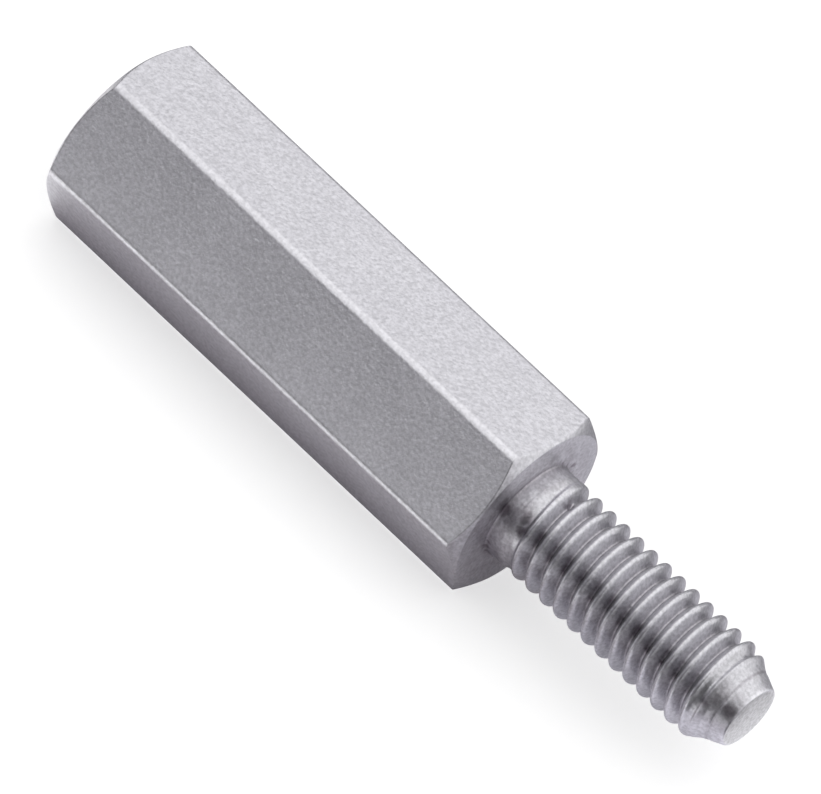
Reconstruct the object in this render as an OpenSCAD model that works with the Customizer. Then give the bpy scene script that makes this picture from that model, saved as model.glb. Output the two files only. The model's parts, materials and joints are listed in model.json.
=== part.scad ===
// Male-female hex standoff: a hexagonal body, tapped at one end, with a threaded stud at the other.
// It lies on one of its flats. X runs along its axis towards the stud, and Z is up.

/* [Thread] */
// Nominal diameter of the stud's thread and of the tapped hole's
thread_size = 3; // [2.9:0.1:3.3]
// Distance from one thread crest to the next
thread_pitch = 0.5; // [0.4:0.05:0.6]
// How far the rounded crests stop short of the nominal radius
crest_shortfall = 0.07; // [0.04:0.01:0.09]
// Turns over which the thread rises from the neck
rise_turns = 0.5; // [0.3:0.05:0.7]
// Turns over which the thread runs out at the tip
runout_turns = 1; // [0.6:0.1:1.4]
// Distance from where the thread has run out to the stud's end face
runout_to_end = 0.5; // [0.4:0.05:0.8]
// Turn about the axis at which the thread starts
thread_start_angle = 203; // [0:1:359]

/* [Body] */
// Width of the hexagon across its flats
across_flats = 5; // [4.6:0.1:8]
// Length of the hexagon, from its end face to the shoulder
body_length = 15; // [12:0.5:40]
// Radius of the six long edges
edge_radius = 0.25; // [0.1:0.05:0.4]
// How far the turned end faces stay inside the flats
face_inset = 0.1; // [0.05:0.05:0.4]
// Angle between each chamfer and its end face
chamfer_angle = 30; // [15:5:45]

/* [Stud] */
// Length of the stud, from the shoulder to its end face
stud_length = 8; // [5:0.5:14]
// Length of the plain neck between the shoulder and the thread
neck_length = 0.7; // [0.5:0.1:1.2]
// Radius of the fillet where the neck meets the shoulder
neck_fillet = 0.12; // [0.05:0.01:0.2]
// Length of the cone that leads up to the end face
cone_length = 0.7; // [0.5:0.05:1.2]
// Diameter of the flat end face
tip_diameter = 1.86; // [1.4:0.02:2.2]

/* [Tapped hole] */
// Depth of the hole, from the end face to where the drill point starts
hole_depth = 10; // [6:0.5:12.5]
// Diameter of the countersink at the mouth
countersink_diameter = 3.3; // [3:0.1:4]
// Included angle of the countersink
countersink_angle = 90; // [60:10:120]
// Included angle of the drill point
drill_point_angle = 118; // [90:1:140]

/* [Hidden] */
$fn = 96;
// Solids that are joined reach this far into each other, and cutters reach this far past a face
overlap = 0.02;

flat_radius = across_flats / 2;
face_radius = flat_radius - face_inset;
// Distance from the axis to the centre of each long edge's round
edge_centre = (flat_radius - edge_radius) / cos(30);
// The ends' chamfers are cut out to this radius, which clears the hexagon's corners
clear_radius = across_flats;
chamfer_run = (clear_radius - face_radius) * tan(chamfer_angle);

// 60 degree thread form: the height of its sharp triangle, and what follows from it
sharp_height = thread_pitch * cos(30);
pitch_radius = thread_size / 2 - 3 / 8 * sharp_height;
crest_radius = thread_size / 2 - crest_shortfall;
crest_round = pitch_radius + sharp_height / 2 - crest_radius;
root_round = sharp_height / 6;
root_radius = pitch_radius - sharp_height / 2 + root_round;

// The thread's strip stands on a plain core, and sinks into it where it starts and ends
core_radius = root_radius - overlap / 2;
neck_end_run = (pitch_radius - core_radius) / tan(60);
tip_radius = tip_diameter / 2;
cone_slope = (core_radius - tip_radius) / cone_length;

// Steps of the thread's strip in one turn, and in the rounds of its crest and its root
turn_steps = 36;
crest_steps = 4;
root_steps = 2;
first_crest = neck_length - rise_turns * thread_pitch;
last_crest = stud_length - runout_to_end;
strip_steps = floor((last_crest - first_crest) / thread_pitch * turn_steps);

hole_radius = (thread_size - thread_pitch) / 2;
drill_point_run = hole_radius / tan(drill_point_angle / 2);
countersink_radius = countersink_diameter / 2;
countersink_run = countersink_radius / tan(countersink_angle / 2);

// One pitch of the thread's outline from root to root, as [distance along the axis, radius]
function root_point(angle, along) = [
    along + root_round * sin(angle),
    root_radius + root_round * (1 - cos(angle))
];
function crest_point(angle) = [
    thread_pitch / 2 + crest_round * sin(angle),
    crest_radius - crest_round * (1 - cos(angle))
];
outline = concat(
    [for (i = [0 : root_steps]) root_point(60 * i / root_steps, 0)],
    [for (i = [0 : crest_steps]) crest_point(120 * i / crest_steps - 60)],
    [for (i = [0 : root_steps - 1]) root_point(60 * i / root_steps - 60, thread_pitch)]
);

// Radius of the core and the tip's cone at a distance along the axis
function blank_radius(along) = min(core_radius, tip_radius + (stud_length - along) * cone_slope);

// Height of the strip at one step, from 0 where it is sunk to 1 where it is full
function strip_height(step) =
    min(1, step / (rise_turns * turn_steps))
    * pow(min(1, max(0, strip_steps - step) / (runout_turns * turn_steps)), 2);

function strip_point(step, point) =
    let (turn = step / turn_steps,
         angle = thread_start_angle + 360 * turn,
         along = first_crest + thread_pitch * (turn - 1 / 2) + point[0],
         rise = strip_height(step) * (point[1] - core_radius + overlap),
         radius = blank_radius(along) - overlap + rise)
    [along, radius * cos(angle), radius * sin(angle)];

// Index of a strip's point: the outline's last point is the first one of the next turn
function strip_index(step, i) =
    i == len(outline) ? strip_index(step + turn_steps, 0)
    : step <= strip_steps ? step * len(outline) + i
    : (strip_steps + 1) * len(outline) + step - strip_steps - 1;

// The strip's open end at one step, as a loop of point indices
function end_loop(step) = concat(
    [for (i = [0 : turn_steps]) strip_index(step + i, 0)],
    [for (i = [len(outline) - 1 : -1 : 1]) strip_index(step, i)]
);

module thread() {
    rows = [for (step = [0 : strip_steps]) for (point = outline) strip_point(step, point)];
    last_edge = [for (i = [1 : turn_steps]) strip_point(strip_steps + i, outline[0])];
    ends = [for (step = [0, strip_steps])
        [first_crest + thread_pitch * step / turn_steps, 0, 0]];
    points = concat(rows, last_edge, ends);
    walls = [for (step = [0 : strip_steps - 1]) for (i = [0 : len(outline) - 1])
        each [[strip_index(step, i), strip_index(step, i + 1), strip_index(step + 1, i)],
              [strip_index(step, i + 1), strip_index(step + 1, i + 1), strip_index(step + 1, i)]]];
    first_loop = end_loop(0);
    last_loop = end_loop(strip_steps);
    loop_length = len(first_loop);
    first_fan = [for (i = [0 : loop_length - 1])
        [len(points) - 2, first_loop[i], first_loop[(i + 1) % loop_length]]];
    last_fan = [for (i = [0 : loop_length - 1])
        [len(points) - 1, last_loop[(i + 1) % loop_length], last_loop[i]]];
    polyhedron(points, concat(walls, first_fan, last_fan));
}

// Lays what is built upwards along X
module along_x() {
    rotate([0, 90, 0]) children();
}

// The drawn bar: a hexagon with rounded corners, one flat up and one down
module hexagonal_bar() {
    linear_extrude(body_length) {
        polygon([for (corner = [30 : 60 : 330]) for (side = [-30, 30])
            [edge_centre * cos(corner) + edge_radius * cos(corner + side),
             edge_centre * sin(corner) + edge_radius * sin(corner + side)]]);
        for (corner = [30 : 60 : 330])
            rotate(corner) translate([edge_centre, 0]) circle(edge_radius);
    }
}

// The two ends as turned: a flat face with a chamfer out to the corners
module turned_ends() {
    rotate_extrude() polygon([
        [0, 0],
        [face_radius, 0],
        [clear_radius, chamfer_run],
        [clear_radius, body_length - chamfer_run],
        [face_radius, body_length],
        [0, body_length]
    ]);
}

module tapped_hole() {
    translate([0, 0, -overlap]) cylinder(h = hole_depth + overlap, r = hole_radius);
    translate([0, 0, hole_depth]) cylinder(h = drill_point_run, r1 = hole_radius, r2 = 0);
    cylinder(h = countersink_run, r1 = countersink_radius, r2 = 0);
}

module body() {
    translate([-body_length, 0, 0]) along_x() difference() {
        intersection() {
            hexagonal_bar();
            turned_ends();
        }
        tapped_hole();
    }
}

// The stud's plain parts: its neck, the core under the thread, and the tip
module stud_blank() {
    along_x() rotate_extrude() difference() {
        polygon([
            [0, -overlap],
            [pitch_radius + neck_fillet, -overlap],
            [pitch_radius + neck_fillet, neck_fillet],
            [pitch_radius, neck_fillet],
            [pitch_radius, neck_length - neck_end_run],
            [core_radius, neck_length],
            [core_radius, stud_length - cone_length],
            [tip_radius, stud_length],
            [0, stud_length]
        ]);
        translate([pitch_radius + neck_fillet, neck_fillet]) circle(neck_fillet);
    }
}

module standoff() {
    color("silver") translate([(body_length - stud_length) / 2, 0, flat_radius]) {
        body();
        stud_blank();
        thread();
    }
}

standoff();
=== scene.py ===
"""A male-female hex standoff in stainless steel, and the plain studio that it lies in."""
import json
import math

import bmesh
import bpy
from mathutils import Matrix, Vector


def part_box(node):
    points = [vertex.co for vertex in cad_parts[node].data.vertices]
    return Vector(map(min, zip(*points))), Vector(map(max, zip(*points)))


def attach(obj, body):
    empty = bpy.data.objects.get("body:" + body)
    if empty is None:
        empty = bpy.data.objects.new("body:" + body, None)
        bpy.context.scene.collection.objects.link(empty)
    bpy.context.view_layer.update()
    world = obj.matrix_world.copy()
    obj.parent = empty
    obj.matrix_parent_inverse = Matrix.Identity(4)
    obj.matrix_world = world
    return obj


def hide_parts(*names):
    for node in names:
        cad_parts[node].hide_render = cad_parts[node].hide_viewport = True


bl_info = {
    "name": "Hex Standoff",
    "version": (1, 0, 0),
    "blender": (4, 5, 0),
    "location": "3D View > Sidebar > Standoff",
    "description": "Builds a male-female hex standoff in stainless steel, and a plain studio",
    "category": "Object",
}

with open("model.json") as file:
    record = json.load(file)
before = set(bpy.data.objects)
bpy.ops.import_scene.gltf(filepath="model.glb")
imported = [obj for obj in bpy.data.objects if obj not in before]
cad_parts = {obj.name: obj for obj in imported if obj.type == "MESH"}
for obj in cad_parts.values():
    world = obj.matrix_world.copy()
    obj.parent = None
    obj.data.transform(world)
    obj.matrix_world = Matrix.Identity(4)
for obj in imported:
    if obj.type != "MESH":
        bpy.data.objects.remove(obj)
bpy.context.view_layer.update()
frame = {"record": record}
LOW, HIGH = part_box("standoff")
MOUNTS = {mount["name"]: mount for mount in frame["record"]["mounts"]}

MM = 0.001
AXIS = (HIGH.z + LOW.z) / 2  # height of the standoff's axis, which lies along X
COLUMNS = 144  # columns of every ring round the axis
CORNER_STEPS = 8  # of those, the ones on each of the six rounded corners
FLAT_STEPS = COLUMNS // 6 - CORNER_STEPS
TUMBLED, TURNED, ROLLED, TAPPED = range(4)  # material slots of the standoff

# Rows of the stud's mesh across one pitch, in pitches from a crest, close together where the
# crest and the root are rounded
THREAD_ROWS = (-0.7, -0.64, -0.578, -0.539, -0.5, -0.461, -0.422, -0.345, -0.268, -0.191)
THREAD_ROWS += (-0.114, -0.076, -0.038, 0.0, 0.038, 0.076, 0.114, 0.2, 0.3)
THREAD_TURNS = 14  # turns of the mesh's helix, before the tip's plain rings
# Where parts of the thread start to change and are done, in turns from where its first crest rises
CREST_RISES = (0.0, 0.5)
COLLAR_RISES = (0.0, 0.4)
COLLAR_ENDS = (0.5, 0.75)
ROOT_DEEPENS = (0.95, 1.45)
CREST_FADES = (12.4, 14.0)
ROOT_FADES = (12.9, 14.4)
COLLAR_WIDTH = 0.25  # in pitches
CREST_LOSS = 0.9  # share of its height that a crest loses when it fades
CUT_BLEND = 0.03 * MM  # over which the tip's lead and the thread's crests run together
NECK_NARROWS = (0.45 * MM, 0.75 * MM)  # from the shoulder
NECK_FINISH_END = 0.6 * MM  # where the turned finish of the neck gives way to the rolled one

# A nick and its burr in the second groove, where the die took hold: turn in degrees and height
NICK = ((91, -0.12 * MM), (82, 0.05 * MM))
NICK_PLACE = 1.08 * MM  # from the shoulder
NICK_SIZE = 0.055 * MM

# The fine groove round the tip
GROOVE_DEPTH = 0.02 * MM
GROOVE_WIDTH = 0.035 * MM
GROOVE_TILT = 0.05  # how far it leans towards the front, for each unit across

# Drops of oil dried on the stud, and painted shade at the bottom of the nick's pit: place from the
# shoulder and radius in mm, turn in degrees, size in mm and how dark
OIL_DROPS_AND_PIT_SHADE = (
    (0.04, 1.44, 148.5, 0.34, 1.0),
    (0.74, 1.38, 155.0, 0.27, 1.0),
    (0.58, 1.4, 140.0, 0.28, 0.8),
    (0.28, 1.44, 144.0, 0.22, 0.6),
    (0.0, 1.47, 60.0, 0.18, 0.8),
    (0.0, 1.52, 48.0, 0.18, 0.9),
    (0.0, 1.64, 36.0, 0.14, 0.9),
    (0.04, 1.45, 192.0, 0.16, 0.8),
    (0.06, 1.45, 204.0, 0.18, 0.9),
    (0.08, 1.45, 217.0, 0.2, 0.9),
    # Painted shade at the bottom of the nick's pit
    (1.08, 1.26, 91.0, 0.18, 0.85),
    (7.8, 0.98, 148.0, 0.28, 0.75),
    (7.4, 1.15, 143.0, 0.22, 0.45),
    (7.25, 1.26, 158.0, 0.2, 0.7),
)
STAIN_AND_SHADE = (0.63, 0.67, 0.64)  # share of red, green and blue taken where dried oil and painted shade are thickest
OIL_RUNS = (0, -0.9, 0.44)  # way from the axis in which the run of oil lies, front and above

# The camera's place in mm, and the ways that are right and up in its picture
CAMERA_PLACE = (159.1436, -334.6560, 343.3156)
CAMERA_RIGHT = (0.691546, 0.650393, 0.314249)
CAMERA_UP = (-0.648809, 0.368064, 0.666015)

LENGTH = {"unit": "LENGTH", "subtype": "DISTANCE", "precision": 5}
COLOUR = {"size": 3, "subtype": "COLOR_GAMMA", "min": 0, "max": 1}


def hex_colour(text):
    """The three parts of an sRGB hex colour, each from 0 to 1."""
    return tuple(int(text[i : i + 2], 16) / 255 for i in (1, 3, 5))


def linear(colour):
    """An sRGB colour as the linear RGBA that Blender's shaders take."""
    return (
        *(c / 12.92 if c <= 0.04045 else ((c + 0.055) / 1.055) ** 2.4 for c in colour),
        1.0,
    )


class BodySizes(bpy.types.PropertyGroup):
    """The hexagonal body and its turned ends."""

    across_flats: bpy.props.FloatProperty(
        name="Across flats",
        description="Width of the hexagon across its flats",
        default=HIGH.z - LOW.z,
        **LENGTH,
    )
    end: bpy.props.FloatProperty(
        name="End face",
        description="Where the tapped end face stands along X",
        default=MOUNTS["end_face"]["pos_m"][0],
        **LENGTH,
    )
    shoulder: bpy.props.FloatProperty(
        name="Shoulder",
        description="Where the shoulder stands along X",
        default=MOUNTS["shoulder_face"]["pos_m"][0],
        **LENGTH,
    )
    edge_radius: bpy.props.FloatProperty(
        name="Edge radius",
        description="Radius of the six long edges",
        default=0.25 * MM,
        **LENGTH,
    )
    end_inset: bpy.props.FloatProperty(
        name="End inset",
        description="How far the turned face of the tapped end stays inside the flats",
        default=0.1 * MM,
        **LENGTH,
    )
    shoulder_inset: bpy.props.FloatProperty(
        name="Shoulder inset",
        description="How far the turned face of the shoulder stays inside the flats",
        default=0.045 * MM,
        **LENGTH,
    )
    chamfer_angle: bpy.props.FloatProperty(
        name="Chamfer angle",
        description="Angle between each chamfer and its end face",
        default=math.radians(30),
        unit="ROTATION",
        subtype="ANGLE",
    )
    edge_break: bpy.props.FloatProperty(
        name="Edge break",
        description="Radius that tumbling leaves on the turned edges",
        default=0.045 * MM,
        **LENGTH,
    )


class StudSizes(bpy.types.PropertyGroup):
    """The threaded stud."""

    length: bpy.props.FloatProperty(
        name="Length",
        description="From the shoulder to the stud's end face",
        default=MOUNTS["stud"]["dims"]["length_mm"] * MM,
        **LENGTH,
    )
    diameter: bpy.props.FloatProperty(
        name="Thread size",
        description="Nominal diameter of the thread",
        default=2 * MOUNTS["stud"]["dims"]["r_mm"] * MM,
        **LENGTH,
    )
    pitch: bpy.props.FloatProperty(
        name="Pitch",
        description="Distance from one thread crest to the next",
        default=0.5 * MM,
        **LENGTH,
    )
    effective_diameter: bpy.props.FloatProperty(
        name="Effective diameter",
        description="Diameter at which the thread and its gap are equally wide",
        default=2.6 * MM,
        **LENGTH,
    )
    crest_round: bpy.props.FloatProperty(
        name="Crest round",
        description="Radius of the thread's crests",
        default=0.066 * MM,
        **LENGTH,
    )
    root_round: bpy.props.FloatProperty(
        name="Root round",
        description="Radius of the thread's roots",
        default=0.045 * MM,
        **LENGTH,
    )
    neck_diameter: bpy.props.FloatProperty(
        name="Neck diameter",
        description="Diameter of the plain neck next to the shoulder",
        default=2.88 * MM,
        **LENGTH,
    )
    neck_end_diameter: bpy.props.FloatProperty(
        name="Neck end diameter",
        description="Diameter that the neck narrows to before the first crest",
        default=2.75 * MM,
        **LENGTH,
    )
    first_crest: bpy.props.FloatProperty(
        name="First crest",
        description="Distance from the shoulder at which the first crest starts to rise",
        default=0.495 * MM,
        **LENGTH,
    )
    start_angle: bpy.props.FloatProperty(
        name="Start angle",
        description="Turn about the axis at which the first crest starts to rise",
        default=math.radians(225),
        unit="ROTATION",
        subtype="ANGLE",
    )
    fillet: bpy.props.FloatProperty(
        name="Fillet",
        description="Radius of the fillet where the neck meets the shoulder",
        default=0.06 * MM,
        **LENGTH,
    )
    tip_diameter: bpy.props.FloatProperty(
        name="Tip diameter",
        description="Diameter of the flat end face, before its edge is broken",
        default=1.84 * MM,
        **LENGTH,
    )
    tip_slope: bpy.props.FloatProperty(
        name="Tip slope",
        description="How much radius the tip's cone gains for each unit of length",
        default=0.43,
    )
    tip_break: bpy.props.FloatProperty(
        name="Tip edge break",
        description="Radius that tumbling leaves on the edge of the tip's end face",
        default=0.07 * MM,
        **LENGTH,
    )
    lead_slope: bpy.props.FloatProperty(
        name="Lead slope",
        description="How much radius the lead from the cone to the thread gains in the same way",
        default=0.75,
    )
    lead_end: bpy.props.FloatProperty(
        name="Lead end",
        description="Distance from the shoulder at which the lead meets the tip's cone",
        default=7.39 * MM,
        **LENGTH,
    )
    groove: bpy.props.FloatProperty(
        name="Tip groove",
        description="Distance from the shoulder of the fine groove at the start of the cone",
        default=7.55 * MM,
        **LENGTH,
    )


class HoleSizes(bpy.types.PropertyGroup):
    """The tapped hole in the other end."""

    depth: bpy.props.FloatProperty(
        name="Depth",
        description="From the end face to where the drill point starts",
        default=10 * MM,
        **LENGTH,
    )
    tapped: bpy.props.FloatProperty(
        name="Tapped length",
        description="From the end face to where the thread has run out",
        default=8.6 * MM,
        **LENGTH,
    )
    countersink_diameter: bpy.props.FloatProperty(
        name="Countersink",
        description="Diameter of the countersink at the mouth",
        default=3.3 * MM,
        **LENGTH,
    )
    drill_point: bpy.props.FloatProperty(
        name="Drill point",
        description="Included angle of the drill's point",
        default=math.radians(118),
        unit="ROTATION",
        subtype="ANGLE",
    )


class FinishSettings(bpy.types.PropertyGroup):
    """Colour of the steel, and how rough each way of making its surface leaves it."""

    steel: bpy.props.FloatVectorProperty(
        name="Steel",
        description="Colour of the bare stainless steel",
        default=hex_colour("#E4E3E8"),
        **COLOUR,
    )
    tumbled_roughness: bpy.props.FloatProperty(
        name="Tumbled roughness",
        description="Roughness of the tumbled flats and corners",
        default=0.56,
        min=0,
        max=1,
        subtype="FACTOR",
    )
    turned_roughness: bpy.props.FloatProperty(
        name="Turned roughness",
        description="Roughness of the turned ends, neck and tip, and about that of the hole",
        default=0.4,
        min=0,
        max=1,
        subtype="FACTOR",
    )
    rolled_roughness: bpy.props.FloatProperty(
        name="Rolled roughness",
        description="Roughness of the rolled thread",
        default=0.32,
        min=0,
        max=1,
        subtype="FACTOR",
    )


class StageSettings(bpy.types.PropertyGroup):
    """Floor, flags, lamp and camera."""

    floor: bpy.props.FloatVectorProperty(
        name="Floor",
        description="Colour of the floor",
        default=hex_colour("#D0D0D0"),
        **COLOUR,
    )
    floor_glow: bpy.props.FloatProperty(
        name="Floor glow",
        description="White that the floor gives off where it is seen or mirrored",
        default=0.5,
        min=0,
        max=1,
    )
    flag: bpy.props.FloatVectorProperty(
        name="Flag",
        description="Colour of the grey cloths that the steel mirrors",
        default=hex_colour("#7A797D"),
        **COLOUR,
    )
    # The sheets in this colour are painted shade of the floor under the body, seen only in the
    # steel
    cloth: bpy.props.FloatVectorProperty(
        name="Cloth",
        description="Colour of the warmer cloths on the floor under the body",
        default=hex_colour("#7A777A"),
        **COLOUR,
    )
    lens: bpy.props.FloatProperty(
        name="Lens",
        description="Focal length of the camera in millimetres",
        default=877.12,
        min=1,
        max=5000,
    )
    overhead: bpy.props.FloatProperty(
        name="Overhead light",
        description="What the overhead lamp adds to the white above the object",
        default=0.08,
        min=0,
        max=4,
    )


# ---- Mesh helpers -------------------------------------------------------------------------


def smooth_step(value, start, end):
    """0 up to the start, 1 from the end on, and an even rise between them."""
    part = min(1.0, max(0.0, (value - start) / (end - start)))
    return part * part * (3 - 2 * part)


def soft_min(a, b, blend):
    """The lower of two values, rounded over where they are within blend of each other."""
    near = max(0.0, blend - abs(a - b)) / blend
    return min(a, b) - near * near * blend / 4


def at(along, radius, angle):
    """A point by its place along the axis, its distance from it and its turn about it."""
    return Vector((along, radius * math.cos(angle), AXIS + radius * math.sin(angle)))


def arc(radius, start, end, steps):
    """Points of an arc about the origin, in degrees."""
    angles = [math.radians(start + (end - start) * i / steps) for i in range(steps + 1)]
    return [(radius * math.cos(a), radius * math.sin(a)) for a in angles]


def add_ring(bm, place):
    """A ring of vertices, one for each column."""
    return [bm.verts.new(place(column)) for column in range(COLUMNS)]


def bridge(bm, rings, slot):
    """Quads from each ring to the next."""
    for ring, other in zip(rings, rings[1:]):
        for a in range(COLUMNS):
            b = (a + 1) % COLUMNS
            bm.faces.new((ring[a], ring[b], other[b], other[a])).material_index = slot


def close_ring(bm, ring, along, slot):
    """Triangles from a ring to a point on the axis."""
    middle = bm.verts.new(at(along, 0, 0))
    for a in range(COLUMNS):
        face = bm.faces.new((ring[a], ring[(a + 1) % COLUMNS], middle))
        face.material_index = slot


def helix_grid(bm, place, start, pitch, turns, offsets, angle, slot):
    """A grid whose rows follow a thread's helix, with a wedge to a plain ring at either end.

    place gives the point at a distance along the axis and an angle about it. offsets are the rows
    of one pitch, from 0 to 1. The two plain rings come back as lists that start at column 0.
    """
    steps, last, rows = COLUMNS, turns * COLUMNS, len(offsets) - 1

    def vertex(step, offset):
        turn = step / steps
        return bm.verts.new(place(start + pitch * (turn + offset), angle + math.tau * turn))

    grid = [[vertex(k, offset) for offset in offsets[:-1]] for k in range(last + 1)]
    edge = [grid[last][0]] + [vertex(last + k, 0) for k in range(1, steps + 1)]

    def point(k, i):
        if i == rows:
            k, i = k + steps, 0
        return grid[k][i] if k <= last else edge[k - last]

    def face(*corners):
        unique = list(dict.fromkeys(corners))
        bm.faces.new(unique).material_index = slot

    for k in range(last):
        for i in range(rows):
            face(point(k, i), point(k + 1, i), point(k + 1, i + 1), point(k, i + 1))

    # The two wedges between the helix and the plain rings
    lead_in = [[grid[0][0]] * (rows + 1)]
    lead_out = [[point(last, i) for i in range(rows + 1)]]
    for k in range(1, steps):
        turn = k / steps
        lead_in.append(
            [vertex(k, turn * (offset - 1)) for offset in offsets[:-1]] + [grid[k][0]]
        )
        lead_out.append(
            [edge[k]] + [vertex(last + k, (1 - turn) * offset) for offset in offsets[1:]]
        )
    lead_in.append([point(0, i) for i in range(rows + 1)])
    lead_out.append([edge[steps]] * (rows + 1))
    for wedge in (lead_in, lead_out):
        for k in range(steps):
            for i in range(rows):
                face(wedge[k][i], wedge[k + 1][i], wedge[k + 1][i + 1], wedge[k][i + 1])

    shift = round(angle / math.tau * steps)
    first = [lead_in[(k - shift) % steps][0] for k in range(steps)]
    final = [lead_out[(k - shift) % steps][rows] for k in range(steps)]
    return first, final


def add_object(name, bm, materials):
    """Turns a finished mesh into a smooth-shaded object in the scene."""
    mesh = bpy.data.meshes.new(name)
    bm.to_mesh(mesh)
    bm.free()
    mesh.shade_smooth()
    for material in materials:
        mesh.materials.append(material)
    obj = bpy.data.objects.new(name, mesh)
    bpy.context.scene.collection.objects.link(obj)
    return obj


# ---- The standoff's shape -----------------------------------------------------------------


def hexagon(body):
    """The bar's outline: each column's angle about the axis and its distance from it."""
    centre = (body.across_flats / 2 - body.edge_radius) / math.cos(math.pi / 6)
    corner = arc(body.edge_radius, -30, 30, CORNER_STEPS)
    corner = [Vector((centre + x, y)) for x, y in corner]
    turned = Matrix.Rotation(math.pi / 3, 2)
    points = []
    for side in range(6):
        spin = Matrix.Rotation(side * math.pi / 3, 2)
        flat_end = turned @ corner[0]
        points += [spin @ p for p in corner]
        points += [
            spin @ corner[-1].lerp(flat_end, i / FLAT_STEPS) for i in range(1, FLAT_STEPS)
        ]
    # Column 0 is the middle of the corner at angle 0
    points = points[CORNER_STEPS // 2 :] + points[: CORNER_STEPS // 2]
    return [(math.atan2(p.y, p.x), p.length) for p in points]


def thread_form(stud, phase):
    """Radius of a full rolled thread, from phase 0 on the crest to 0.5 in the root either side."""
    middle = stud.effective_diameter / 2
    half_height = stud.pitch * math.cos(math.pi / 6) / 2
    from_crest = abs(phase) * stud.pitch
    from_root = stud.pitch / 2 - from_crest
    crest, root = stud.crest_round, stud.root_round
    if from_crest < crest * math.cos(math.pi / 6):
        return middle + half_height - 2 * crest + math.sqrt(crest**2 - from_crest**2)
    if from_root < root * math.cos(math.pi / 6):
        return middle - half_height + 2 * root - math.sqrt(root**2 - from_root**2)
    return middle + (stud.pitch / 4 - from_crest) * math.sqrt(3)


def cone_radius(stud, along):
    """Radius of the tip's cone."""
    return stud.tip_diameter / 2 + stud.tip_slope * (stud.length - along)


def tip_radius(stud, along, angle=math.pi / 2):
    """Radius of the turned tip: a steep lead up to the thread, a slower cone and a fine groove."""
    cone = cone_radius(stud, along)
    lead = (stud.lead_slope - stud.tip_slope) * max(0.0, stud.lead_end - along)
    tilted = along + GROOVE_TILT * cone * math.cos(angle)
    groove = GROOVE_DEPTH * math.exp(-(((tilted - stud.groove) / GROOVE_WIDTH) ** 2))
    return cone + lead - groove


def neck_radius(stud, along):
    """Radius of the neck, which narrows a little before the first crest."""
    narrowing = (stud.neck_diameter - stud.neck_end_diameter) / 2
    return stud.neck_diameter / 2 - narrowing * smooth_step(along, *NECK_NARROWS)


def stud_radius(stud, along, angle):
    """Radius of the stud: the neck, the thread that rises from it and the tip that cuts it."""
    neck = neck_radius(stud, along)
    turn = (angle - stud.start_angle) % math.tau / math.tau
    if turn > 1 - 1e-9:
        turn = 0.0  # a rounding error short of a whole turn is none
    # The phase is the distance from the nearest crest, in pitches
    pitches = (along - stud.first_crest) / stud.pitch - turn
    whole = math.floor(pitches + 0.5)
    phase = pitches - whole
    crest_turn = whole + turn
    root_turn = crest_turn + (phase > 0)
    # The first crest stands on a wider collar, pushed up where the rolling starts
    if phase < 0:
        widen = COLLAR_WIDTH * smooth_step(crest_turn, *COLLAR_RISES)
        widen *= 1 - smooth_step(crest_turn, *COLLAR_ENDS)
        phase = min(0.0, phase + widen)
    form = thread_form(stud, phase)
    crest = smooth_step(crest_turn, *CREST_RISES)
    crest *= 1 - CREST_LOSS * smooth_step(crest_turn, *CREST_FADES)
    root = smooth_step(root_turn, *ROOT_DEEPENS)
    root *= 1 - smooth_step(root_turn, *ROOT_FADES)
    radius = neck + crest * max(0.0, form - neck) + root * min(0.0, form - neck)
    for place, height in NICK:
        across = (angle % math.tau - math.radians(place)) * radius
        away = math.hypot(along - NICK_PLACE, across) / NICK_SIZE
        radius += height * math.exp(-(away**2))
    return soft_min(radius, tip_radius(stud, along, angle), CUT_BLEND)


def tapped_radius(hole, stud, along, angle):
    """Radius of the tapped hole at a distance from the end face: countersink, thread, run-out."""
    # The flanks' middle lies 3/8 of the sharp thread's height inside the nominal size
    middle = stud.diameter / 2 - 3 / 8 * stud.pitch * math.cos(math.pi / 6)
    phase = (along / stud.pitch - angle / math.tau) % 1.0
    depth = (0.25 - abs(phase - 0.5)) * stud.pitch * math.sqrt(3)
    drill = (stud.diameter - stud.pitch) / 2
    full = min(stud.diameter / 2, max(drill, middle + depth))
    thread = smooth_step(hole.tapped - along, 0, 1.5 * stud.pitch)
    radius = drill + (full - drill) * thread
    return max(radius, hole.countersink_diameter / 2 - along)


def end_profile(body, face, reach):
    """A turned end's outline in one column, from its face out to the side at reach from the axis.

    The face is cut out to the radius face. Each point is a distance behind the face and a
    distance from the axis.
    """
    e = body.edge_break
    slope = body.chamfer_angle
    inner = face - e * math.tan(slope / 2)
    back = (e + (reach - e - face) * math.sin(slope)) / math.cos(slope)
    degrees = math.degrees(slope)
    points = [(e - x, inner + y) for x, y in arc(e, 0, degrees, 3)]
    points += [(back - x, reach - e + y) for x, y in arc(e, degrees, 90, 5)]
    return points


def end_rings(bm, body, outline, end, direction, face):
    """The rings of one end's broken edges and chamfer, from its face to the body's side."""
    profiles = [end_profile(body, face, reach) for _, reach in outline]

    def place(column, i):
        back, radius = profiles[column][i]
        return at(end - direction * back, radius, outline[column][0])

    return [
        add_ring(bm, lambda column, i=i: place(column, i)) for i in range(len(profiles[0]))
    ]


def turned_ring(bm, outline, along, radius, morph=0.0):
    """A round ring. morph turns its columns from an even spread to the hexagon's."""

    def place(column):
        even = math.tau * column / COLUMNS
        swing = (outline[column][0] - even + math.pi) % math.tau - math.pi
        return at(along, radius, even + morph * swing)

    return add_ring(bm, place)


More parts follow.
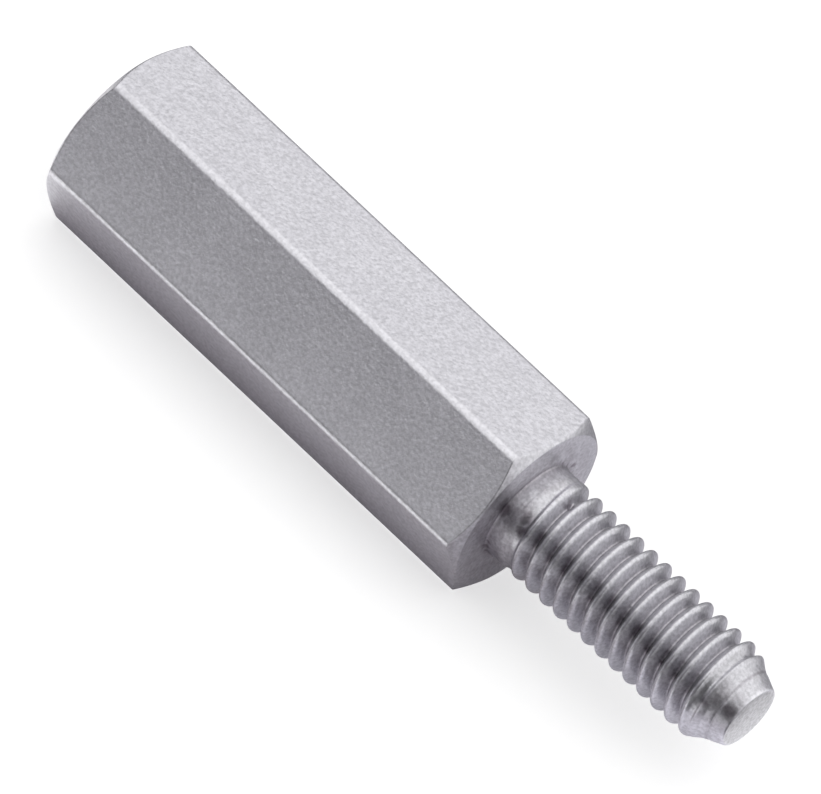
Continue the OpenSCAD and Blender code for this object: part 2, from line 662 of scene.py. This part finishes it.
def build_thread(bm, body, stud):
    """The rolled thread, with the neck before it. Gives its first and its last ring."""
    ends = helix_grid(
        bm,
        lambda along, angle: at(body.shoulder + along, stud_radius(stud, along, angle), angle),
        stud.first_crest + THREAD_ROWS[0] * stud.pitch,
        stud.pitch,
        THREAD_TURNS,
        [row - THREAD_ROWS[0] for row in THREAD_ROWS],
        stud.start_angle,
        ROLLED,
    )
    # The neck is turned, and so is what the tip cuts off the thread
    for face in bm.faces:
        x, y, z = face.calc_center_median()
        along = x - body.shoulder
        cut = tip_radius(stud, along) - CUT_BLEND
        if along < NECK_FINISH_END or math.hypot(y, z - AXIS) > cut:
            face.material_index = TURNED
    return ends


def build_tip(bm, outline, body, stud, ring):
    """The tip, from the thread's last ring: the cone, its broken edge and the end face."""
    end = body.shoulder + stud.length
    thread_end = ring[0].co.x - body.shoulder
    cone_end = stud.length - 0.1 * MM  # just short of the broken edge
    rings = [ring]
    for i in range(1, 9):
        along = thread_end + (cone_end - thread_end) * i / 8
        rings.append(turned_ring(bm, outline, body.shoulder + along, tip_radius(stud, along)))
    e = stud.tip_break
    start = 90 - math.degrees(math.atan(stud.tip_slope))
    edge_centre = stud.tip_diameter / 2 - e * math.tan(math.radians(start) / 2)
    for x, y in arc(e, start, 0, 5):
        rings.append(turned_ring(bm, outline, end - e + x, edge_centre + y))
    for part in (0.8, 0.45, 0.15):
        rings.append(turned_ring(bm, outline, end, edge_centre * part))
    bridge(bm, rings, TURNED)
    close_ring(bm, rings[-1], end, TURNED)


def build_body(bm, outline, body, stud, hole, ring):
    """The body, from the neck's ring: fillet, shoulder, hexagon and the tapped end's face.

    Gives the ring at the countersink's edge.
    """
    neck = stud.neck_diameter / 2
    rings = [ring]
    for x, y in arc(stud.fillet, 270, 180, 6):
        rings.append(
            turned_ring(bm, outline, body.shoulder + stud.fillet + x, neck + stud.fillet + y)
        )
    face = body.across_flats / 2 - body.shoulder_inset
    for part in (0.3, 0.65, 0.9):
        radius = neck + stud.fillet
        radius += part * (face - body.edge_break - radius)
        rings.append(turned_ring(bm, outline, body.shoulder, radius, part))
    near = end_rings(bm, body, outline, body.shoulder, 1, face)
    bridge(bm, rings + near, TURNED)

    face = body.across_flats / 2 - body.end_inset
    far = end_rings(bm, body, outline, body.end, -1, face)
    bridge(bm, [near[-1], far[-1]], TUMBLED)

    mouth = hole.countersink_diameter / 2
    e = body.edge_break
    rings = far[::-1]
    for part in (0.1, 0.5, 0.85):
        radius = face - e
        radius += part * (mouth + 0.1 * MM - radius)  # the last clears the countersink's edge
        rings.append(turned_ring(bm, outline, body.end, radius, 1 - part))
    for x, y in arc(e, 180, 225, 4):
        radius = mouth + e * math.tan(math.pi / 8) + y
        rings.append(turned_ring(bm, outline, body.end + e + x, radius))
    bridge(bm, rings, TURNED)
    return rings[-1]


def build_hole(bm, outline, body, stud, hole, ring):
    """The tapped hole, from the ring at the countersink's edge down to the drill's point."""
    start = 0.06 * MM  # just inside the countersink's edge
    inlet, outlet = helix_grid(
        bm,
        lambda along, angle: at(body.end + along, tapped_radius(hole, stud, along, angle), angle),
        start,
        stud.pitch,
        int((hole.tapped - start) / stud.pitch),
        [i / 10 for i in range(11)],
        0.0,
        TAPPED,
    )
    bridge(bm, [ring, inlet], TURNED)
    drill = (stud.diameter - stud.pitch) / 2
    bottom = body.end + hole.depth
    slope = math.tan(hole.drill_point / 2)
    step = 0.25 * MM  # down the point's cone
    rings = [
        outlet,
        turned_ring(bm, outline, bottom, drill),
        turned_ring(bm, outline, bottom + step, drill - step * slope),
    ]
    bridge(bm, rings, TURNED)
    close_ring(bm, rings[-1], bottom + drill / slope, TURNED)


def build_standoff(body, stud, hole):
    """The whole standoff as one closed mesh."""
    bm = bmesh.new()
    outline = hexagon(body)
    base, lead = build_thread(bm, body, stud)
    build_tip(bm, outline, body, stud, lead)
    mouth = build_body(bm, outline, body, stud, hole, base)
    build_hole(bm, outline, body, stud, hole, mouth)
    bmesh.ops.recalc_face_normals(bm, faces=bm.faces[:])
    return bm


# ---- Materials ----------------------------------------------------------------------------


def add_node(tree, kind, inputs=None, **settings):
    """Adds a shader node with its settings, and links or sets each of its inputs."""
    node = tree.nodes.new("ShaderNode" + kind)
    for name, value in settings.items():
        setattr(node, name, value)
    for name, value in (inputs or {}).items():
        if isinstance(value, bpy.types.NodeSocket):
            tree.links.new(value, node.inputs[name])
        else:
            node.inputs[name].default_value = value
    return node


def new_material(name):
    """An empty material and its node tree."""
    material = bpy.data.materials.new(name)
    material.use_nodes = True
    tree = material.node_tree
    tree.nodes.clear()
    return material, tree


def axis_parts(tree):
    """A point of the surface, its place along the axis, and its way and distance from the axis."""
    place = add_node(tree, "TexCoord").outputs["Object"]
    centred = add_node(
        tree, "VectorMath", {0: place, 1: (0, 0, AXIS)}, operation="SUBTRACT"
    ).outputs["Vector"]
    across = add_node(
        tree, "VectorMath", {0: centred, 1: (0, 1, 1)}, operation="MULTIPLY"
    ).outputs["Vector"]
    along = add_node(tree, "SeparateXYZ", {"Vector": place}).outputs["X"]
    radius = add_node(tree, "VectorMath", {0: across}, operation="LENGTH").outputs["Value"]
    return place, along, across, radius


def tumbled_grain(tree, place, dark, light):
    """What tumbling leaves on every face: specks that shade it from dark to light, and dents."""
    # Specks 0.09 mm apart. Most of a noise's values lie between 0.35 and 0.65
    specks = add_node(
        tree, "TexNoise", {"Vector": place, "Scale": 1 / (0.09 * MM), "Detail": 2.0}
    ).outputs["Fac"]
    shade = add_node(
        tree,
        "MapRange",
        {"Value": specks, "From Min": 0.35, "From Max": 0.65, "To Min": dark, "To Max": light},
    ).outputs["Result"]
    # Dents 0.12 mm apart
    dents = add_node(
        tree,
        "TexNoise",
        {"Vector": place, "Scale": 1 / (0.12 * MM), "Detail": 2.0, "Roughness": 0.6},
    ).outputs["Fac"]
    return shade, dents


def near_circle(tree, along, radius, place, size, reach):
    """1 on a circle round the axis, of a size and at a place along it, and 0 at reach from it."""
    point = add_node(tree, "CombineXYZ", {"X": along, "Y": radius}).outputs["Vector"]
    away = add_node(
        tree, "VectorMath", {0: point, 1: (place, size, 0)}, operation="DISTANCE"
    ).outputs["Value"]
    return add_node(
        tree,
        "MapRange",
        {"Value": away, "From Min": 0.0, "From Max": reach, "To Min": 1.0, "To Max": 0.0},
    ).outputs["Result"]


def dried_oil_and_pit_shade(tree, place, across, width, shoulder):
    """Dried oil, from 0 to 1: its blots, the run it stands in, width to a side, and its drops, one
    of which is painted shade in the nick's pit.
    """
    # Blots 0.4 mm apart
    noise = add_node(
        tree,
        "TexNoise",
        {"Vector": place, "Scale": 1 / (0.4 * MM), "Detail": 3.0, "Roughness": 0.6},
    )
    blots = add_node(
        tree,
        "MapRange",
        {
            "Value": noise.outputs["Fac"],
            "From Min": 0.38,
            "From Max": 0.62,
            "To Min": 0.1,
            "To Max": 1.0,
        },
    ).outputs["Result"]
    outwards = add_node(tree, "VectorMath", {0: across}, operation="NORMALIZE").outputs["Vector"]
    facing = add_node(
        tree, "VectorMath", {0: outwards, 1: OIL_RUNS}, operation="DOT_PRODUCT"
    ).outputs["Value"]
    run = add_node(
        tree,
        "MapRange",
        {"Value": facing, "From Min": math.cos(width), "From Max": math.cos(width / 3)},
    ).outputs["Result"]
    # The drops' outlines wander by up to 0.25 mm
    wander = 0.25 * MM
    ragged = add_node(
        tree,
        "VectorMath",
        {0: noise.outputs["Color"], 1: (2 * wander,) * 3, 2: place},
        operation="MULTIPLY_ADD",
    ).outputs["Vector"]
    ragged = add_node(
        tree, "VectorMath", {0: ragged, 1: (wander,) * 3}, operation="SUBTRACT"
    ).outputs["Vector"]
    drops_and_pit_shade = 0.0
    for along, radius, turn, size, dark in OIL_DROPS_AND_PIT_SHADE:
        middle = at(shoulder + along * MM, radius * MM, math.radians(turn))
        away = add_node(
            tree, "VectorMath", {0: ragged, 1: tuple(middle)}, operation="DISTANCE"
        ).outputs["Value"]
        drop = add_node(
            tree,
            "MapRange",
            {
                "Value": away,
                "From Min": 0.35 * size * MM,
                "From Max": size * MM,
                "To Min": dark,
                "To Max": 0.0,
            },
        ).outputs["Result"]
        drops_and_pit_shade = add_node(tree, "Math", {0: drops_and_pit_shade, 1: drop}, operation="MAXIMUM").outputs["Value"]
    return blots, run, drops_and_pit_shade


def steel_surface(tree, steel, shade, oil_and_shade, roughness, height, strength, distance):
    """Metal in a shade of the steel's colour, darkened by dried oil and painted shade, with the
    height as its bump.
    """
    unstained_unshaded = add_node(
        tree,
        "VectorMath",
        {0: tuple(-part for part in STAIN_AND_SHADE), 1: oil_and_shade, 2: (1, 1, 1)},
        operation="MULTIPLY_ADD",
    ).outputs["Vector"]
    colour = add_node(
        tree, "VectorMath", {0: linear(steel)[:3], 1: unstained_unshaded}, operation="MULTIPLY"
    ).outputs["Vector"]
    colour = add_node(
        tree, "VectorMath", {0: colour, "Scale": shade}, operation="SCALE"
    ).outputs["Vector"]
    bump = add_node(
        tree, "Bump", {"Height": height, "Strength": strength, "Distance": distance}
    )
    shader = add_node(
        tree,
        "BsdfPrincipled",
        {
            "Base Color": colour,
            "Metallic": 1.0,
            "Roughness": roughness,
            "Normal": bump.outputs["Normal"],
        },
    )
    add_node(tree, "OutputMaterial", {"Surface": shader.outputs["BSDF"]})


def tumbled_steel(finish, body):
    """Stainless steel bar tumbled with ceramic media: an even satin grain that glitters."""
    material, tree = new_material("tumbled stainless steel")
    place, _, _, radius = axis_parts(tree)
    shade, dents = tumbled_grain(tree, place, 0.9, 1.1)
    # Slow unevenness of the wear, over 1.5 mm
    wear = add_node(
        tree, "TexNoise", {"Vector": place, "Scale": 1 / (1.5 * MM), "Detail": 2.0}
    ).outputs["Fac"]
    gloss = add_node(
        tree,
        "MapRange",
        {
            "Value": wear,
            "From Min": 0.3,
            "From Max": 0.7,
            "To Min": finish.tumbled_roughness - 0.03,
            "To Max": finish.tumbled_roughness + 0.03,
        },
    ).outputs["Result"]
    # The long corners take the most rubbing: their dents wear off and they shine
    corner = max(reach for _, reach in hexagon(body))
    rubbed = add_node(
        tree,
        "MapRange",
        {"Value": radius, "From Min": corner - 0.038 * MM, "From Max": corner - 0.016 * MM},
    ).outputs["Result"]
    roughness = add_node(
        tree, "Math", {0: rubbed, 1: -0.18, 2: gloss}, operation="MULTIPLY_ADD"
    ).outputs["Value"]
    strength = add_node(
        tree, "Math", {0: rubbed, 1: -0.6, 2: 0.9}, operation="MULTIPLY_ADD"
    ).outputs["Value"]
    steel_surface(tree, finish.steel, shade, (0, 0, 0), roughness, dents, strength, 0.03 * MM)
    return material


def turned_steel(finish, body, stud):
    """Stainless steel turned and then tumbled: faint rings of the tool under a soft gloss."""
    material, tree = new_material("turned stainless steel")
    place, along, across, radius = axis_parts(tree)
    shade, dents = tumbled_grain(tree, place, 0.79, 1.04)
    # The tool's path crosses a face outwards and a neck or cone lengthwise
    path = add_node(
        tree, "Math", {0: along, 1: 0.8, 2: radius}, operation="MULTIPLY_ADD"
    ).outputs["Value"]
    # Feed marks 0.05 mm apart
    rings = add_node(
        tree,
        "TexNoise",
        {"W": path, "Scale": 1 / (0.05 * MM), "Detail": 2.0},
        noise_dimensions="1D",
    ).outputs["Fac"]
    height = add_node(
        tree, "Mix", {"Factor": 0.7, "A": rings, "B": dents}, data_type="FLOAT"
    ).outputs["Result"]
    # Cutting oil has dried in blots, as a thin film along its run and thickest towards the corner
    # between the neck and the shoulder, where the darkening is also painted shade of the corner.
    # The fillet carries painted shade all round, and the oil stands in drops
    neck = stud.neck_diameter / 2
    # Painted shade towards the corner between the neck and the shoulder, broken up by the oil's
    # blots
    corner = near_circle(tree, along, radius, body.shoulder, neck, 0.9 * MM)
    blots, run, drops_and_pit_shade = dried_oil_and_pit_shade(tree, place, across, math.radians(42), body.shoulder)
    oil_and_shade = add_node(
        tree, "Math", {0: corner, 1: 2.0}, operation="MULTIPLY", use_clamp=True
    ).outputs["Value"]
    spread = add_node(
        tree, "Math", {0: run, 1: 0.2, 2: 0.4}, operation="MULTIPLY_ADD"
    ).outputs["Value"]
    oil_and_shade = add_node(tree, "Math", {0: oil_and_shade, 1: spread}, operation="MULTIPLY").outputs["Value"]
    film = add_node(tree, "Math", {0: run, 1: 0.35}, operation="MULTIPLY").outputs["Value"]
    oil_and_shade = add_node(tree, "Math", {0: oil_and_shade, 1: film}, operation="MAXIMUM").outputs["Value"]
    oil_and_shade = add_node(tree, "Math", {0: oil_and_shade, 1: blots}, operation="MULTIPLY").outputs["Value"]
    # Painted shade all round the fillet
    fillet = near_circle(
        tree, along, radius, body.shoulder + stud.fillet / 2, neck + stud.fillet / 2, 0.25 * MM
    )
    # A fine dark line in the groove at the start of the tip's cone: oil and painted shade of the
    # groove
    side = add_node(tree, "SeparateXYZ", {"Vector": across}).outputs["Y"]
    tilted = add_node(
        tree, "Math", {0: side, 1: GROOVE_TILT, 2: along}, operation="MULTIPLY_ADD"
    ).outputs["Value"]
    groove_oil_and_shade = near_circle(
        tree,
        tilted,
        radius,
        body.shoulder + stud.groove,
        cone_radius(stud, stud.groove),
        0.06 * MM,
    )
    # The fillet's painted shade, the groove's dark line and the drops darken the steel as the oil
    # does
    for part, dark in ((fillet, 0.6), (groove_oil_and_shade, 0.6), (drops_and_pit_shade, 1.0)):
        part = add_node(tree, "Math", {0: part, 1: dark}, operation="MULTIPLY").outputs["Value"]
        oil_and_shade = add_node(tree, "Math", {0: oil_and_shade, 1: part}, operation="MAXIMUM").outputs["Value"]
    # The tip's edge is painted lighter all round: a painted highlight
    end = body.shoulder + stud.length
    edge = near_circle(tree, along, radius, end, stud.tip_diameter / 2, 0.1 * MM)
    shade = add_node(
        tree, "Math", {0: edge, 1: 0.3, 2: shade}, operation="MULTIPLY_ADD"
    ).outputs["Value"]
    steel_surface(tree, finish.steel, shade, oil_and_shade, finish.turned_roughness, height, 0.5, 0.02 * MM)
    return material


def rolled_steel(finish, body, stud):
    """Stainless steel thread rolled between dies, with fine streaks along it and painted shade on
    its flanks and roots.
    """
    material, tree = new_material("rolled stainless steel")
    place, _, across, radius = axis_parts(tree)
    shade, dents = tumbled_grain(tree, place, 0.86, 1.14)
    # Streaks 0.03 mm apart across the thread and 0.6 mm long round it
    streaked = add_node(
        tree, "VectorMath", {0: place, 1: (20.0, 1.0, 1.0)}, operation="MULTIPLY"
    ).outputs["Vector"]
    streaks = add_node(
        tree,
        "TexNoise",
        {"Vector": streaked, "Scale": 1 / (0.6 * MM), "Detail": 3.0, "Roughness": 0.6},
    ).outputs["Fac"]
    height = add_node(
        tree, "Mix", {"Factor": 0.6, "A": streaks, "B": dents}, data_type="FLOAT"
    ).outputs["Result"]
    # The flanks and roots are painted darker than the crests: painted shade
    top, bottom = thread_form(stud, 0.0), thread_form(stud, 0.5)
    painted_flank_shade = add_node(
        tree,
        "MapRange",
        {
            "Value": radius,
            "From Min": top - 0.09 * MM,
            "From Max": top - 0.02 * MM,
            "To Min": 0.82,
            "To Max": 0.94,
        },
    ).outputs["Result"]
    shade = add_node(tree, "Math", {0: shade, 1: painted_flank_shade}, operation="MULTIPLY").outputs["Value"]
    # Rolling oil and fine oxide stay in the roots, which carry painted shade as well. Oil has
    # dried in a run, thin on the flanks and thick in the roots, and in drops
    root = add_node(
        tree, "MapRange", {"Value": radius, "From Min": bottom + 0.13 * MM, "From Max": bottom}
    ).outputs["Result"]
    blots, run, drops_and_pit_shade = dried_oil_and_pit_shade(tree, place, across, math.radians(18), body.shoulder)
    oil_and_shade = add_node(tree, "Math", {0: blots, 1: run}, operation="MULTIPLY").outputs["Value"]
    depth = add_node(
        tree, "Math", {0: root, 1: 0.68, 2: 0.08}, operation="MULTIPLY_ADD"
    ).outputs["Value"]
    oil_and_shade = add_node(tree, "Math", {0: oil_and_shade, 1: depth}, operation="MULTIPLY").outputs["Value"]
    oil_and_shade = add_node(
        tree, "Math", {0: drops_and_pit_shade, 1: 0.9, 2: oil_and_shade}, operation="MULTIPLY_ADD"
    ).outputs["Value"]
    # Painted shade in the roots, on top of the oil
    soil_and_shade = add_node(
        tree, "Math", {0: root, 1: 0.38, 2: oil_and_shade}, operation="MULTIPLY_ADD"
    ).outputs["Value"]
    # The dies leave the roots rougher than the flanks
    strength = add_node(
        tree, "Math", {0: root, 1: 0.5, 2: 0.6}, operation="MULTIPLY_ADD"
    ).outputs["Value"]
    steel_surface(
        tree, finish.steel, shade, soil_and_shade, finish.rolled_roughness, height, strength, 0.02 * MM
    )
    return material


def tapped_steel(finish):
    """Stainless steel thread cut with a tap: a torn, streaked satin in the hole."""
    material, tree = new_material("tapped stainless steel")
    place = axis_parts(tree)[0]
    # Tear marks 0.04 mm apart across the thread and 0.3 mm long round it
    streaked = add_node(
        tree, "VectorMath", {0: place, 1: (8.0, 1.0, 1.0)}, operation="MULTIPLY"
    ).outputs["Vector"]
    tears = add_node(
        tree, "TexNoise", {"Vector": streaked, "Scale": 1 / (0.3 * MM), "Detail": 3.0}
    ).outputs["Fac"]
    shade = add_node(
        tree,
        "MapRange",
        {"Value": tears, "From Min": 0.3, "From Max": 0.7, "To Min": 0.75, "To Max": 1.0},
    ).outputs["Result"]
    steel_surface(
        tree, finish.steel, shade, (0, 0, 0), finish.turned_roughness + 0.05, tears, 0.5, 0.01 * MM
    )
    return material


# ---- Studio -------------------------------------------------------------------------------


def add_camera(scene, lens):
    """The camera, with a focal length in millimetres."""
    camera = bpy.data.objects.new("camera", bpy.data.cameras.new("camera"))
    scene.collection.objects.link(camera)
    camera.data.lens = lens
    camera.data.sensor_width = 36
    camera.data.clip_start = 0.001
    camera.data.clip_end = 5
    right, up = Vector(CAMERA_RIGHT), Vector(CAMERA_UP)
    turn = Matrix((right, up, right.cross(up))).transposed()
    camera.matrix_world = Matrix.LocRotScale(Vector(CAMERA_PLACE) * MM, turn, None)
    scene.camera = camera


def add_surroundings(scene):
    """White all round."""
    world = bpy.data.worlds.new("white surroundings")
    scene.world = world
    world.use_nodes = True
    tree = world.node_tree
    tree.nodes.clear()
    white = add_node(tree, "Background", {"Color": (1, 1, 1, 1), "Strength": 1.0})
    add_node(tree, "OutputWorld", {"Surface": white.outputs["Background"]})


def add_lamp(scene, radiance):
    """A square lamp overhead and a little behind the object."""
    lamp = bpy.data.objects.new("overhead", bpy.data.lights.new("overhead", "AREA"))
    scene.collection.objects.link(lamp)
    side = 0.8
    lamp.data.shape = "RECTANGLE"
    lamp.data.size = lamp.data.size_y = side
    # An area lamp's radiance is its power over pi and its area
    lamp.data.energy = radiance * math.pi * side**2
    lamp.location = (-0.1, 0.25, 0.6)
    lamp.visible_camera = False


def painted_floor(stage):
    """White paint that glows a little, so that the floor is white clear of the object's shadow."""
    material, tree = new_material("white painted floor")
    diffuse = add_node(tree, "BsdfDiffuse", {"Color": linear(stage.floor)})
    glow = add_node(tree, "Emission", {"Color": (1, 1, 1, 1), "Strength": stage.floor_glow})
    both = add_node(
        tree, "AddShader", {0: diffuse.outputs["BSDF"], 1: glow.outputs["Emission"]}
    )
    # The glow is only for what is seen, straight or in the steel
    ray = add_node(tree, "LightPath").outputs
    seen = ray["Is Camera Ray"]
    for other in ("Is Glossy Ray", "Is Transmission Ray"):
        seen = add_node(tree, "Math", {0: seen, 1: ray[other]}, operation="MAXIMUM")
        seen = seen.outputs["Value"]
    mix = add_node(
        tree, "MixShader", {0: seen, 1: diffuse.outputs["BSDF"], 2: both.outputs["Shader"]}
    )
    add_node(tree, "OutputMaterial", {"Surface": mix.outputs["Shader"]})
    return material


def add_floor(stage):
    """A round floor, 6 m across."""
    bm = bmesh.new()
    bmesh.ops.create_circle(bm, cap_ends=True, segments=96, radius=3.0)
    add_object("floor", bm, [painted_floor(stage)])


def add_flag(name, rows, colour, shade):
    """A cloth through rows of points, in a shade of its colour, seen only in the steel."""
    material, tree = new_material(name + " cloth")
    shaded = linear(tuple(part * shade for part in colour))
    cloth = add_node(tree, "BsdfDiffuse", {"Color": shaded})
    add_node(tree, "OutputMaterial", {"Surface": cloth.outputs["BSDF"]})
    bm = bmesh.new()
    rows = [[bm.verts.new(point) for point in row] for row in rows]
    for row, other in zip(rows, rows[1:]):
        for k in range(len(row) - 1):
            bm.faces.new((row[k], row[k + 1], other[k + 1], other[k]))
    flag = add_object(name, bm, [material])
    flag.visible_camera = flag.visible_diffuse = flag.visible_shadow = False


def add_standing_flags(stage):
    """Cloths that stand round the object, for the steel to mirror."""
    # Each has a sweep in degrees, a profile of distances from the middle and heights, and a shade
    for name, (first, last), profile, shade in (
        ("front low flag", (-165, -80), arc(0.4, 1, 7, 3), 0.2),
        ("front left flag", (-165, -80), arc(0.4, 7, 36, 6), 1.27),
        ("front right flag", (-80, -15), arc(0.41, 2, 42, 8), 0.7),
        ("front far cloth", (-170, -20), [(0.02, 0.0002), (0.1, 0.0002), (0.4, 0.012)], 0.6),
        ("side flag", (142, 195), arc(0.45, 0, 40, 8), 1.1),
        ("back flag", (68, 142), arc(0.5, 0, 22, 4), 1.15),
    ):
        angles = [math.radians(first + (last - first) * k / 48) for k in range(49)]
        rows = [[(r * math.cos(a), r * math.sin(a), z) for a in angles] for r, z in profile]
        add_flag(name, rows, stage.flag, shade)


def add_mirrored_floor_shade(stage):
    """Grey sheets just over the floor, seen only in the steel: painted shade and light of the
    floor round the object, as the steel mirrors it.
    """
    # Each has its low x and y and its high x and y in millimetres, and a shade
    for name, colour, x0, y0, x1, y1, shade in (
        ("mirrored floor shade under the body", stage.cloth, -11.6, -4.95, 4.2, 4.5, 1.44),
        ("mirrored floor shade under the neck", stage.cloth, 4.2, -2.5, 5.4, 2, 1.6),
        ("mirrored floor shade beside the neck", stage.cloth, 4.2, 2, 5.4, 4.5, 1.75),
        ("mirrored floor shade under the stud", stage.flag, 5.4, -2.5, 10.3, 4.5, 1.8),
        ("mirrored floor shade before the stud", stage.cloth, 4.2, -12, 10.3, -2.5, 1.38),
        ("mirrored floor shade under the tip", stage.flag, 10.3, -6, 13.5, 0.8, 1.95),
        ("mirrored floor shade in front", stage.flag, -60, -40, 5, -12, 0.6),
        ("mirrored floor shade behind the body", stage.flag, -60, 4.5, 4.2, 60, 1.05),
        ("mirrored floor shade behind the stud", stage.flag, 4.2, 4.5, 20, 8, 1.69),
        ("mirrored floor shade far behind the stud", stage.flag, 4.2, 8, 20, 60, 1.05),
        ("mirrored floor shade right of the tip", stage.flag, 13.5, -8, 60, 5, 0.7),
    ):
        rows = [[(x * MM, y * MM, 0.05 * MM) for x in (x0, x1)] for y in (y0, y1)]
        add_flag(name, rows, colour, shade)


# ---- Operators ----------------------------------------------------------------------------


class AddStandoff(bpy.types.Operator):
    """Add the standoff: hexagonal body, threaded stud and tapped hole, in one piece"""

    bl_idname = "standoff.add_standoff"
    bl_label = "Add Standoff"
    bl_options = {"REGISTER", "UNDO"}

    def execute(self, context):
        scene = context.scene
        body, stud, finish = scene.standoff_body, scene.standoff_stud, scene.standoff_finish
        bm = build_standoff(body, stud, scene.standoff_hole)
        if any(not edge.is_manifold for edge in bm.edges):
            raise RuntimeError("the standoff's mesh isn't closed")
        piece = add_object(
            "standoff_steel",
            bm,
            [
                tumbled_steel(finish, body),
                turned_steel(finish, body, stud),
                rolled_steel(finish, body, stud),
                tapped_steel(finish),
            ],
        )
        # Flat faces keep one direction, and the small edge breaks carry the whole turn
        weighted = piece.modifiers.new("even normals", "WEIGHTED_NORMAL")
        weighted.mode = "FACE_AREA"
        weighted.weight = 50
        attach(piece, "root")
        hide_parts("standoff")
        return {"FINISHED"}


class AddStage(bpy.types.Operator):
    """Add the studio: camera, floor, flags, lamp and white surroundings"""

    bl_idname = "standoff.add_stage"
    bl_label = "Add Stage"
    bl_options = {"REGISTER", "UNDO"}

    def execute(self, context):
        scene = context.scene
        stage = scene.standoff_stage
        add_camera(scene, stage.lens)
        add_surroundings(scene)
        add_lamp(scene, stage.overhead)
        add_floor(stage)
        add_standing_flags(stage)
        add_mirrored_floor_shade(stage)
        return {"FINISHED"}


class StandoffPanel(bpy.types.Panel):
    """Sizes, finishes and operators of the standoff"""

    bl_idname = "VIEW3D_PT_standoff"
    bl_label = "Hex Standoff"
    bl_space_type = "VIEW_3D"
    bl_region_type = "UI"
    bl_category = "Standoff"

    def draw(self, context):
        scene = context.scene
        for group in GROUPS:
            box = self.layout.box()
            for name in GROUPS[group].__annotations__:
                box.prop(getattr(scene, group), name)
        for operator in OPERATORS:
            self.layout.operator(operator.bl_idname)


GROUPS = {
    "standoff_body": BodySizes,
    "standoff_stud": StudSizes,
    "standoff_hole": HoleSizes,
    "standoff_finish": FinishSettings,
    "standoff_stage": StageSettings,
}
OPERATORS = (AddStage, AddStandoff)
CLASSES = (*GROUPS.values(), *OPERATORS, StandoffPanel)


def register():
    for cls in CLASSES:
        bpy.utils.register_class(cls)
    for group, cls in GROUPS.items():
        setattr(bpy.types.Scene, group, bpy.props.PointerProperty(type=cls))


def unregister():
    for group in GROUPS:
        delattr(bpy.types.Scene, group)
    for cls in reversed(CLASSES):
        bpy.utils.unregister_class(cls)


def main():
    """Builds the studio and the standoff."""
    register()
    bpy.context.scene.view_settings.view_transform = "Standard"
    bpy.ops.standoff.add_stage()
    bpy.ops.standoff.add_standoff()


if __name__ == "__main__":
    main()
